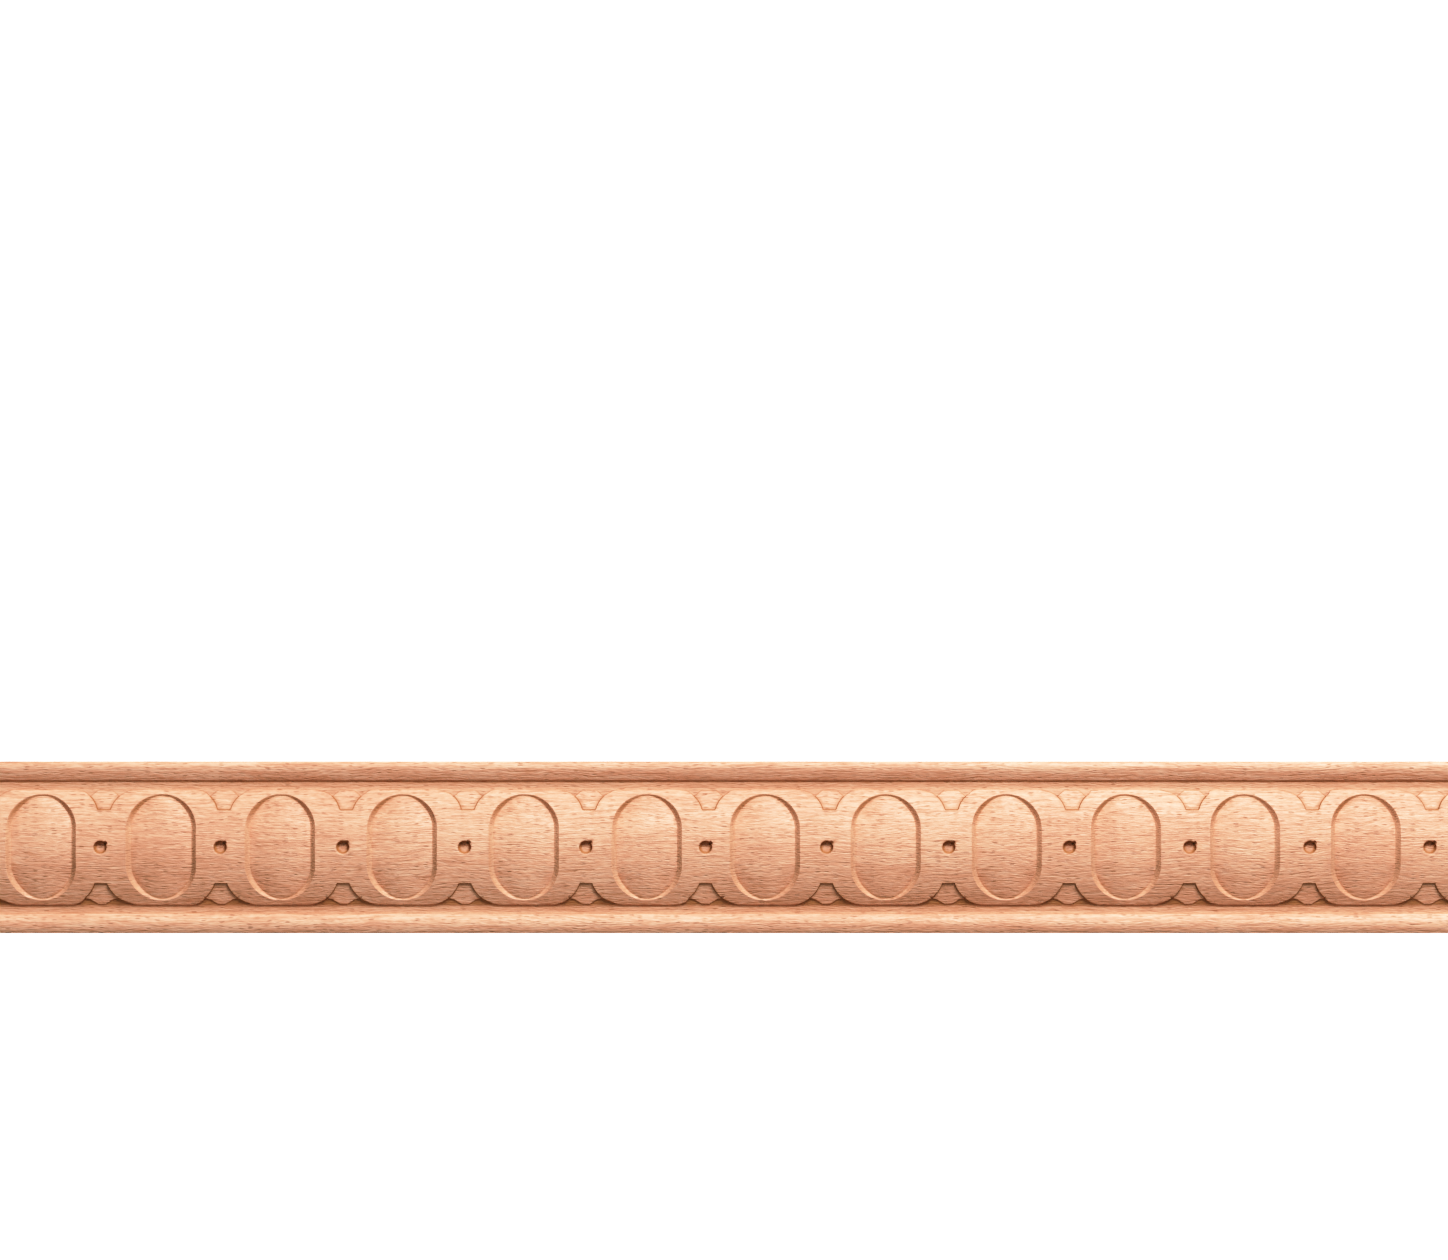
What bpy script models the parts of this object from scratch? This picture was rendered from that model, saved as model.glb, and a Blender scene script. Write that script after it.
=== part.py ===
"""Carved beech moulding strip, one solid, lying on its flat back.

X runs along the strip, Y across it and Z out of the carved face. The origin is the
middle of the flat back. Each repeat of the carving has one sunk oval, one drilled dot
and a keystone notch at each edge of the domed band.
"""

import math

import bmesh
import bpy
from mathutils import Matrix, Vector

MM = 0.001

# The strip and its repeat
PITCH = 35.0 * MM
REPEATS = 13
STRIP_WIDTH = 50.0 * MM

# Heights above the flat back
GROOVE_FLOOR = 3.7 * MM
BEAD_SHOULDER = 4.9 * MM
BEAD_CREST = 5.8 * MM
DOME_EDGE = 4.35 * MM
DOME_CROWN = 9.3 * MM

# Distances from the strip's centre line
BEAD_INNER = 19.3 * MM
DOME_HALF = 16.7 * MM

# Sunk ovals, round at both ends, with a sloping wall down to a flatter domed floor
OVAL_HALF_WIDTH = 10.2 * MM
OVAL_HALF_LENGTH = 15.5 * MM
OVAL_WALL_AT_SIDE = 1.5 * MM
OVAL_WALL_AT_END = 0.65 * MM
OVAL_DEPTH_AT_CROWN = 1.2 * MM
OVAL_DEPTH_AT_END = 0.5 * MM

# The ovals lie a little nearer to the dot on their left, as they do on the real piece
OVAL_SHIFT = -0.6 * MM

# Drilled dots with a tapering wall and a flat bottom
DOT_RADIUS = 1.9 * MM
DOT_FLOOR_RADIUS = 1.4 * MM
DOT_DEPTH = 1.0 * MM

# Keystone notches: a sunk wedge, and the ground cut away around its pointed foot.
# Those at the upper edge start a little further out and lie a little to the right.
UPPER_NOTCH_INNER = 10.75 * MM
UPPER_NOTCH_SHIFT = 0.9 * MM
LOWER_NOTCH_INNER = 10.4 * MM
NOTCH_INNER_HALF_WIDTH = 1.8 * MM
NOTCH_CUSP = 14.7 * MM
NOTCH_SUNK = 0.55 * MM
WEDGE_CUTTER_HEIGHT = 8.0 * MM
NOTCH_TIP = 16.45 * MM
NOTCH_TIP_HALF_WIDTH = 1.0 * MM
NOTCH_FOOT = 16.9 * MM
SCALLOP_RADIUS = 9.4 * MM
SCALLOP_CENTRE_ALONG = 10.7 * MM
SCALLOP_CENTRE_ACROSS = 7.3 * MM
WEDGE_INSET = 0.08 * MM

# The wedge's foot curves from cusp to tip through two points, given as the share of the
# cusp's half width and the share of the way from cusp to tip
FOOT_SHOULDER = (0.64, 0.25)
FOOT_WAIST = (0.44, 0.62)

# The ground round the foot stays this much above the groove beside it
GROUND_ABOVE_GROOVE = 0.1 * MM

# The upright cutters run this far above the crown
CLEARANCE = 2.0 * MM

# Edges sharper than this stay crisp in the shading
SHARP_ANGLE = math.radians(25.0)

# Steps along the curves
DOME_STEPS = 14
BEAD_STEPS = 6
OVAL_END_STEPS = 9
OVAL_SIDE_STEPS = 4
SCALLOP_STEPS = 5
DOT_SEGMENTS = 16

BEECH_COLOUR = (0.82, 0.53, 0.34, 1.0)
BEECH_ROUGHNESS = 0.62


def radius_of_arc(half_chord, rise):
    """Radius of the circular arc with this half chord and rise."""
    return (half_chord**2 + rise**2) / (2.0 * rise)


def dome_height(across):
    """Height of the domed band at a distance from the centre line."""
    radius = radius_of_arc(DOME_HALF, DOME_CROWN - DOME_EDGE)
    return DOME_CROWN - radius + math.sqrt(radius**2 - across**2)


def oval_floor_height(across):
    """Height of an oval's floor, a flatter arc than the dome that it is sunk in."""
    floor_half = OVAL_HALF_LENGTH - OVAL_WALL_AT_END
    crown = DOME_CROWN - OVAL_DEPTH_AT_CROWN
    end = dome_height(floor_half) - OVAL_DEPTH_AT_END
    radius = radius_of_arc(floor_half, crown - end)
    return crown - radius + math.sqrt(radius**2 - across**2)


def arc_between(start, end, rise, steps):
    """Points of an arc from start to end, both included, bulging to the left of that way."""
    start = Vector(start)
    end = Vector(end)
    chord = end - start
    half_chord = chord.length / 2.0
    radius = radius_of_arc(half_chord, rise)
    outward = Vector((-chord.y, chord.x)).normalized()
    along = chord.normalized()
    centre = (start + end) / 2.0 + outward * (rise - radius)
    half_angle = math.asin(half_chord / radius)
    points = []
    for step in range(steps + 1):
        angle = half_angle * (2.0 * step / steps - 1.0)
        points.append(centre + radius * (along * math.sin(angle) + outward * math.cos(angle)))
    return points


def first_dot():
    """Place of the first dot along the strip, half a pitch in from the cut end."""
    return PITCH * (1 - REPEATS) / 2.0


def section_half():
    """Right half of the strip's section as (across, height), from the outer foot inwards."""
    outer = STRIP_WIDTH / 2.0
    half = [Vector((outer, 0.0))]
    bead_rise = BEAD_CREST - BEAD_SHOULDER
    bead = arc_between((BEAD_INNER, BEAD_SHOULDER), (outer, BEAD_SHOULDER), bead_rise, BEAD_STEPS)
    half.extend(reversed(bead))
    half.append(Vector((BEAD_INNER, GROOVE_FLOOR)))
    half.append(Vector((DOME_HALF, GROOVE_FLOOR)))
    for step in range(DOME_STEPS // 2, 0, -1):
        across = DOME_HALF * 2.0 * step / DOME_STEPS
        half.append(Vector((across, dome_height(across))))
    return half


def new_collection(name):
    """A new collection linked to the scene."""
    collection = bpy.data.collections.new(name)
    bpy.context.scene.collection.children.link(collection)
    return collection


def flat_outline(name, points, thickness, matrix, collection):
    """Mesh object of a filled 2D outline extruded to a thickness about its own plane."""
    curve = bpy.data.curves.new(name + "_outline", "CURVE")
    curve.dimensions = "2D"
    curve.fill_mode = "BOTH"
    curve.extrude = thickness / 2.0
    spline = curve.splines.new("POLY")
    spline.points.add(len(points) - 1)
    for spline_point, point in zip(spline.points, points):
        spline_point.co = (point[0], point[1], 0.0, 1.0)
    spline.use_cyclic_u = True
    source = bpy.data.objects.new(name + "_outline", curve)
    source.matrix_world = matrix
    bpy.context.scene.collection.objects.link(source)
    bpy.context.view_layer.update()

    evaluated = source.evaluated_get(bpy.context.evaluated_depsgraph_get())
    mesh = bpy.data.meshes.new_from_object(evaluated)
    solid = bpy.data.objects.new(name, mesh)
    solid.matrix_world = source.matrix_world.copy()
    collection.objects.link(solid)
    bpy.data.objects.remove(source)
    weld(mesh)
    return solid


def weld(mesh):
    """Merge the loose cap points of a mesh and point its faces outwards."""
    shape = bmesh.new()
    shape.from_mesh(mesh)
    bmesh.ops.remove_doubles(shape, verts=shape.verts, dist=0.001 * MM)
    bmesh.ops.recalc_face_normals(shape, faces=shape.faces)
    shape.to_mesh(mesh)
    shape.free()


def repeat_along(cutter, count):
    """Repeat a cutter along the strip, once each pitch."""
    array = cutter.modifiers.new("along the strip", "ARRAY")
    array.use_relative_offset = False
    array.use_constant_offset = True
    array.constant_offset_displace = (PITCH, 0.0, 0.0)
    array.count = count


def hide_as_cutter(cutter):
    """Show a cutter as wire in the viewport and keep it out of renders."""
    cutter.display_type = "WIRE"
    cutter.hide_render = True


def subtract(body, cutter):
    """Cut the body with a cutter."""
    boolean = body.modifiers.new("cut " + cutter.name, "BOOLEAN")
    boolean.operation = "DIFFERENCE"
    boolean.solver = "EXACT"
    boolean.object = cutter


def beech():
    """Pale beech with a satin surface."""
    material = bpy.data.materials.new("beech")
    material.use_nodes = True
    shader = material.node_tree.nodes["Principled BSDF"]
    shader.inputs["Base Color"].default_value = BEECH_COLOUR
    shader.inputs["Roughness"].default_value = BEECH_ROUGHNESS
    shader.inputs["Metallic"].default_value = 0.0
    return material


def strip_body(collection):
    """The plain moulded strip before it is carved, its section extruded along X."""
    right = section_half()
    left = [Vector((-point.x, point.y)) for point in reversed(right)]
    crown = [Vector((0.0, DOME_CROWN))]
    upright = Matrix.Rotation(math.pi / 2.0, 4, "Z") @ Matrix.Rotation(math.pi / 2.0, 4, "X")
    return flat_outline("moulding_strip", right + crown + left, PITCH * REPEATS, upright, collection)


def oval_side(half_width, half_length):
    """Right side of a round-ended oval as (along, across), from its lower to its upper end."""
    straight = half_length - half_width
    points = []
    for step in range(OVAL_END_STEPS + 1):
        angle = math.pi / 2.0 * (step / OVAL_END_STEPS - 1.0)
        points.append((half_width * math.cos(angle), half_width * math.sin(angle) - straight))
    for step in range(1, OVAL_SIDE_STEPS):
        points.append((half_width, straight * (2.0 * step / OVAL_SIDE_STEPS - 1.0)))
    for along, across in reversed(points[: OVAL_END_STEPS + 1]):
        points.append((along, -across))
    return points


def oval_rings():
    """Floor ring and top ring of an oval's cutter, right side only.

    The wall runs from the floor up through the rim on the dome, and on as far again.
    """
    floor_side = oval_side(OVAL_HALF_WIDTH - OVAL_WALL_AT_SIDE, OVAL_HALF_LENGTH - OVAL_WALL_AT_END)
    rim_side = oval_side(OVAL_HALF_WIDTH, OVAL_HALF_LENGTH)
    floor_ring = []
    top_ring = []
    for (floor_along, floor_across), (rim_along, rim_across) in zip(floor_side, rim_side):
        floor = Vector((floor_along, floor_across, oval_floor_height(floor_across)))
        rim = Vector((rim_along, rim_across, dome_height(rim_across)))
        floor_ring.append(floor)
        top_ring.append(rim + (rim - floor))
    return floor_ring, top_ring


def oval_cutter(collection):
    """Cutter for one sunk oval: a loft from its curved floor up its sloping wall."""
    shape = bmesh.new()
    sides = []
    for ring in oval_rings():
        right = [shape.verts.new(point) for point in ring]
        left = [right[0]]
        for point in ring[1:-1]:
            left.append(shape.verts.new((-point.x, point.y, point.z)))
        left.append(right[-1])
        sides.append((right, left))
    (floor_right, floor_left), (top_right, top_left) = sides
    for lower in range(len(floor_right) - 1):
        upper = lower + 1
        for right, left in sides:
            corners = [right[lower], right[upper], left[upper], left[lower]]
            shape.faces.new(list(dict.fromkeys(corners)))
        shape.faces.new((floor_right[lower], floor_right[upper], top_right[upper], top_right[lower]))
        shape.faces.new((floor_left[lower], floor_left[upper], top_left[upper], top_left[lower]))
    bmesh.ops.recalc_face_normals(shape, faces=shape.faces)
    mesh = bpy.data.meshes.new("oval_cutter")
    shape.to_mesh(mesh)
    shape.free()
    cutter = bpy.data.objects.new("oval_cutter", mesh)
    cutter.location.x = OVAL_SHIFT - PITCH * REPEATS / 2.0
    collection.objects.link(cutter)
    return cutter


def dot_cutter(collection):
    """Tapering drill that leaves a flat-bottomed dot on the crown between two ovals."""
    height = DOT_DEPTH + CLEARANCE
    top_radius = DOT_FLOOR_RADIUS + (DOT_RADIUS - DOT_FLOOR_RADIUS) * height / DOT_DEPTH
    shape = bmesh.new()
    bmesh.ops.create_cone(
        shape, cap_ends=True, segments=DOT_SEGMENTS, radius1=DOT_FLOOR_RADIUS, radius2=top_radius, depth=height)
    mesh = bpy.data.meshes.new("dot_cutter")
    shape.to_mesh(mesh)
    shape.free()
    cutter = bpy.data.objects.new("dot_cutter", mesh)
    cutter.location = (first_dot(), 0.0, DOME_CROWN - DOT_DEPTH + height / 2.0)
    collection.objects.link(cutter)
    return cutter


def scallop_arc(radius, start_across, end_across):
    """Arc round the end of the next oval, as (along, across) right of the notch."""
    points = []
    start = math.asin((start_across - SCALLOP_CENTRE_ACROSS) / radius)
    end = math.asin((end_across - SCALLOP_CENTRE_ACROSS) / radius)
    for step in range(SCALLOP_STEPS + 1):
        angle = start + (end - start) * step / SCALLOP_STEPS
        along = SCALLOP_CENTRE_ALONG - radius * math.cos(angle)
        points.append((along, SCALLOP_CENTRE_ACROSS + radius * math.sin(angle)))
    return points


def mirrored_outline(right):
    """Whole outline from its right half, which runs from the middle outwards."""
    return right + [(-along, across) for along, across in reversed(right)]


def keystone_outline(inner):
    """Sunk wedge just inside two scallops, narrow towards the crown."""
    side = scallop_arc(SCALLOP_RADIUS + WEDGE_INSET, inner, NOTCH_CUSP)
    side[0] = (NOTCH_INNER_HALF_WIDTH, inner)
    foot = (side[-1][0], NOTCH_FOOT)
    return mirrored_outline(side + [foot])


def ground_outline():
    """Ground cut away outside the scallops and round the wedge's pointed foot."""
    edge = DOME_HALF - GROUND_ABOVE_GROOVE
    side = scallop_arc(SCALLOP_RADIUS, NOTCH_CUSP, edge)
    cusp = side[0]
    tip = (NOTCH_TIP_HALF_WIDTH, NOTCH_TIP)
    foot = [tip]
    for width_share, way_share in (FOOT_WAIST, FOOT_SHOULDER):
        foot.append((cusp[0] * width_share, NOTCH_CUSP + (NOTCH_TIP - NOTCH_CUSP) * way_share))
    outside = (side[-1][0], (DOME_HALF + BEAD_INNER) / 2.0)
    return mirrored_outline(foot + side + [outside])


def keystone_cutter(inner, collection):
    """Cutter whose flat bottom lies a set depth under the dome's chord at the notch."""
    middle = (inner + NOTCH_CUSP) / 2.0
    drop = dome_height(inner) - dome_height(NOTCH_CUSP)
    slope = math.atan2(drop, NOTCH_CUSP - inner)
    bottom = dome_height(middle) - NOTCH_SUNK
    tilt = Matrix.Rotation(-slope, 4, "X")
    rise = Matrix.Translation((0.0, 0.0, WEDGE_CUTTER_HEIGHT / 2.0))
    place = Matrix.Translation((0.0, middle, bottom)) @ tilt @ rise
    outline = [(along, (across - middle) / math.cos(slope)) for along, across in keystone_outline(inner)]
    return flat_outline("keystone_cutter", outline, WEDGE_CUTTER_HEIGHT, place, collection)


def ground_cutter(collection):
    """Upright cutter for the ground at one notch, down to just above the groove."""
    bottom = GROOVE_FLOOR + GROUND_ABOVE_GROOVE
    top = DOME_CROWN + CLEARANCE
    place = Matrix.Translation((0.0, 0.0, (bottom + top) / 2.0))
    return flat_outline("ground_cutter", ground_outline(), top - bottom, place, collection)


def place_notch(cutter, turn, shift):
    """Move a notch cutter, turned about Z, to the first dot and a little along from it."""
    place = Matrix.Translation((first_dot() + shift, 0.0, 0.0)) @ Matrix.Rotation(turn, 4, "Z")
    cutter.data.transform(place @ cutter.matrix_world)
    cutter.matrix_world = Matrix.Identity(4)


def carve_notches(body, collection):
    """Cut the wedge and the ground round its foot at both edges of every dot."""
    upper = ("upper", UPPER_NOTCH_INNER, 0.0, UPPER_NOTCH_SHIFT)
    lower = ("lower", LOWER_NOTCH_INNER, math.pi, 0.0)
    for edge, inner, turn, shift in (upper, lower):
        for cutter in (keystone_cutter(inner, collection), ground_cutter(collection)):
            place_notch(cutter, turn, shift)
            cutter.name = cutter.name + "_" + edge
            repeat_along(cutter, REPEATS)
            hide_as_cutter(cutter)
            subtract(body, cutter)


def carve_ovals(body, collection):
    """Cut the ovals, of which the strip's ends each keep a half."""
    cutter = oval_cutter(collection)
    repeat_along(cutter, REPEATS + 1)
    hide_as_cutter(cutter)
    subtract(body, cutter)


def carve_dots(body, collection):
    """Cut the round dots."""
    cutter = dot_cutter(collection)
    repeat_along(cutter, REPEATS)
    hide_as_cutter(cutter)
    subtract(body, cutter)


def build():
    """Build the strip and carve it."""
    for scene_object in list(bpy.data.objects):
        bpy.data.objects.remove(scene_object, do_unlink=True)
    parts = new_collection("moulding strip")
    cutters = new_collection("cutters")
    strip = strip_body(parts)
    strip.data.materials.append(beech())
    carve_ovals(strip, cutters)
    carve_notches(strip, cutters)
    carve_dots(strip, cutters)
    strip.data.shade_smooth()
    strip.data.set_sharp_from_angle(angle=SHARP_ANGLE)


build()
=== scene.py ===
"""Looks of the carved beech moulding strip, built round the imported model.

The strip lies on its flat back. X runs along it, Y across it and Z out of the carved face.
The carving is worked out in millimetres, and a mesh is made in metres.
"""

import logging
import math
import random
from dataclasses import dataclass, replace
from enum import Enum

import bmesh
import bpy
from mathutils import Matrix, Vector, geometry, kdtree


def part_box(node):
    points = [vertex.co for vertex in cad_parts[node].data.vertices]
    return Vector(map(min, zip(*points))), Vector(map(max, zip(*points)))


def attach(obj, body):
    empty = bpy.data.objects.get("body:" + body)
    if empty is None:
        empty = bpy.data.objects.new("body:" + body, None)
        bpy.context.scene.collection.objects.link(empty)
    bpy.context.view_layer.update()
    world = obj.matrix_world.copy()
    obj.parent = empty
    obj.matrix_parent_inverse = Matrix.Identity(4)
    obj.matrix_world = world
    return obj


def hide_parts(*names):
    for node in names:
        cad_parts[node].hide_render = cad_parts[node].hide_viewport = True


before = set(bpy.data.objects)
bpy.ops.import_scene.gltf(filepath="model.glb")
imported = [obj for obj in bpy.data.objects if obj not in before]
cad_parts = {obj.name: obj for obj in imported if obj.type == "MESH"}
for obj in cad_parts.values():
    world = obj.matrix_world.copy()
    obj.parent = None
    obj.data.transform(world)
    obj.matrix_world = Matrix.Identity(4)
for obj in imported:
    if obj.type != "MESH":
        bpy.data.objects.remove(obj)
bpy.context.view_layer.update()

LOG = logging.getLogger("moulding_strip")

MM = 0.001
PITCH = 35.0
QUARTER_TURN = math.pi / 2.0
SHORTEST_EDGE = 1e-9
SHARPEST_MITRE = 0.5
NODE = "moulding_strip"

Point = tuple[float, float]
Line = list[Point]
Span = tuple[float, float]
Size = tuple[float, float, float]
Colour = tuple[float, float, float, float]


class Side(Enum):
    """Halves of the strip, by the sign of Y."""

    UPPER = 1.0
    LOWER = -1.0


class End(Enum):
    """Ways along the strip, by the sign of X."""

    RIGHT = 1.0
    LEFT = -1.0


def ramp(value: float, start: float, end: float) -> float:
    """Rise smoothly from 0 at start to 1 at end."""
    share = min(max((value - start) / (end - start), 0.0), 1.0)
    return share * share * (3.0 - 2.0 * share)


def arc_radius(half_chord: float, rise: float) -> float:
    """Radius of the circular arc with this half chord and rise."""
    return (half_chord**2 + rise**2) / (2.0 * rise)


def steps_between(start: float, end: float, spacing: float) -> list[float]:
    """Evenly spaced values from start to end, both included, at most spacing apart."""
    count = max(1, math.ceil(abs(end - start) / spacing))
    return [start + (end - start) * step / count for step in range(count + 1)]


def divided(line: Line, spacing: float) -> Line:
    """Put more points on a line so that none are further apart than spacing.

    Args:
        line: the line's corners.
        spacing: the longest step wanted.

    Returns:
        The same line with points added on its straight stretches.
    """
    points = [line[0]]
    for start, end in zip(line, line[1:]):
        count = max(1, math.ceil(math.dist(start, end) / spacing))
        for step in range(1, count + 1):
            share = step / count
            along = start[0] + (end[0] - start[0]) * share
            points.append((along, start[1] + (end[1] - start[1]) * share))
    return points


def beside(line: Line, distance: float) -> Line:
    """Line that runs at a distance to the left of another, with mitred corners.

    Args:
        line: the line to follow.
        distance: how far to its left, or to its right if negative.

    Returns:
        One point for each point of the line.
    """
    normals = []
    for start, end in zip(line, line[1:]):
        length = max(math.dist(start, end), SHORTEST_EDGE)
        normals.append(Vector(((start[1] - end[1]) / length, (end[0] - start[0]) / length)))
    moved = []
    for index, point in enumerate(line):
        before = normals[max(index - 1, 0)]
        after = normals[min(index, len(normals) - 1)]
        middle = (before + after).normalized()
        reach = distance / max(middle.dot(after), SHARPEST_MITRE)
        moved.append((point[0] + middle.x * reach, point[1] + middle.y * reach))
    return moved


def inside_distance(outline: Line, along: float, across: float) -> float:
    """Distance from a point to a closed outline.

    Args:
        outline: the outline's corners.
        along: the point's place along the strip.
        across: the point's place across it.

    Returns:
        The distance, positive inside the outline and negative outside.
    """
    nearest = math.inf
    inside = False
    for (start_x, start_y), (end_x, end_y) in zip(outline, outline[1:] + outline[:1]):
        edge_x = end_x - start_x
        edge_y = end_y - start_y
        way = (along - start_x) * edge_x + (across - start_y) * edge_y
        way = min(max(way / (edge_x**2 + edge_y**2), 0.0), 1.0)
        gap = math.hypot(along - start_x - way * edge_x, across - start_y - way * edge_y)
        nearest = min(nearest, gap)
        if (start_y > across) != (end_y > across):
            crossing = start_x + edge_x * (across - start_y) / edge_y
            if along < crossing:
                inside = not inside
    return nearest if inside else -nearest


def mirrored(right: Line) -> Line:
    """Closed outline from its right half, which runs from the middle line outwards and back."""
    return right + [(-along, across) for along, across in reversed(right)]


@dataclass(frozen=True)
class Section:
    """The moulded section: a domed band between two grooves, and a bead along each edge.

    Lengths called across are measured from the strip's centre line, and the others are heights
    or widths. Each shade is how much painted shade darkens its place, from 0 to 1.
    """

    half_width: float
    crown: float
    groove_floor: float = 3.7
    bead_inner: float = 19.3
    bead_wall_run: float = 0.24
    bead_inner_shoulder: float = 4.55
    bead_inner_fullness: float = 1.7
    bead_crest_across: float = 22.0
    bead_crest: float = 5.8
    bead_outer_shoulder: float = 4.9
    bead_outer_fullness: float = 2.2
    bead_steps: int = 13
    bead_wall_shares: tuple[float, ...] = (-1.0, -0.4, 0.0, 0.4, 1.0)
    bead_cove_shares: tuple[float, ...] = (1.0, 0.6, 0.3)
    dome_half: float = 16.7
    dome_edge: float = 4.35
    dome_edge_row: float = 0.16
    dome_wall_run: float = 0.14
    dome_cove_shares: tuple[float, ...] = (0.35, 0.65, 1.0)
    cove_reach: float = 0.8
    cove_rise: float = 0.28
    # Painted shade: the grooves are darkened a little, and the feet of the dome's and the bead's walls
    # more, where shade falls.
    groove_shade: float = 0.44
    dome_foot_shade: float = 0.5
    bead_foot_shade: float = 0.25
    bead_foot_share: float = 0.2
    foot_reach: float = 0.3

    def dome(self, across: float) -> float:
        """Height of the domed band."""
        radius = arc_radius(self.dome_half, self.crown - self.dome_edge)
        return self.crown - radius + math.sqrt(radius**2 - min(across, self.dome_half) ** 2)

    def bead(self, across: float) -> float:
        """Height of the bead, which falls off more steeply towards the groove.

        Args:
            across: distance from the centre line.

        Returns:
            The height above the back.
        """
        if across < self.bead_crest_across:
            share = (self.bead_crest_across - across) / (self.bead_crest_across - self.bead_inner)
            drop = (self.bead_crest - self.bead_inner_shoulder) * share**self.bead_inner_fullness
        else:
            share = (across - self.bead_crest_across) / (self.half_width - self.bead_crest_across)
            drop = (self.bead_crest - self.bead_outer_shoulder) * share**self.bead_outer_fullness
        return self.bead_crest - drop

    def groove(self, across: float) -> float:
        """Height of the groove, with a small cove against each wall.

        Args:
            across: distance from the centre line.

        Returns:
            The height above the back.
        """
        gap = min(across - self.dome_half, self.bead_inner - across)
        near = max(0.0, 1.0 - max(gap, 0.0) / self.cove_reach)
        return self.groove_floor + self.cove_rise * near**2

    def height(self, across: float) -> float:
        """Height of the moulded face before it is carved.

        Args:
            across: distance from the centre line.

        Returns:
            The height above the back.
        """
        half_run = self.dome_wall_run / 2.0
        past_dome = ramp(across, self.dome_half - half_run, self.dome_half + half_run)
        band = self.dome(across)
        band += (self.groove(across) - band) * past_dome
        half_run = self.bead_wall_run / 2.0
        past_groove = ramp(across, self.bead_inner - half_run, self.bead_inner + half_run)
        bead = self.bead(max(across, self.bead_inner))
        return band + (bead - band) * past_groove

    def painted_shade(self, across: float) -> float:
        """Painted shade of the section: its grooves a little, the feet of its walls more.

        Args:
            across: distance from the centre line.

        Returns:
            How dark the painted shade is, from 0 to about 1.
        """
        bead_foot = self.bead_wall_run * self.bead_foot_share
        below_dome = 1.0 - abs(across - self.dome_half - self.dome_wall_run) / self.foot_reach
        below_bead = 1.0 - abs(across - self.bead_inner + bead_foot) / self.foot_reach
        groove = self.groove_shade if self.dome_half < across < self.bead_inner else 0.0
        return max(groove, below_dome * self.dome_foot_shade, below_bead * self.bead_foot_shade)

    def rows(self) -> list[float]:
        """Rows of points that the plain mouldings need.

        Returns:
            The distance of each row from the centre line.
        """
        half_run = self.dome_wall_run / 2.0
        rows = [self.dome_half - half_run - self.dome_edge_row]
        rows += [self.dome_half - half_run, self.dome_half + half_run]
        rows += [self.dome_half + self.cove_reach * share for share in self.dome_cove_shares]
        rows += [(self.dome_half + self.bead_inner) / 2.0]
        half_run = self.bead_wall_run / 2.0
        cove = self.cove_reach - half_run
        rows += [self.bead_inner - half_run - cove * share for share in self.bead_cove_shares]
        rows += [self.bead_inner + half_run * share for share in self.bead_wall_shares]
        for step in range(1, self.bead_steps + 1):
            rows.append(self.bead_inner + (self.half_width - self.bead_inner) * step / self.bead_steps)
        return rows


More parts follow.
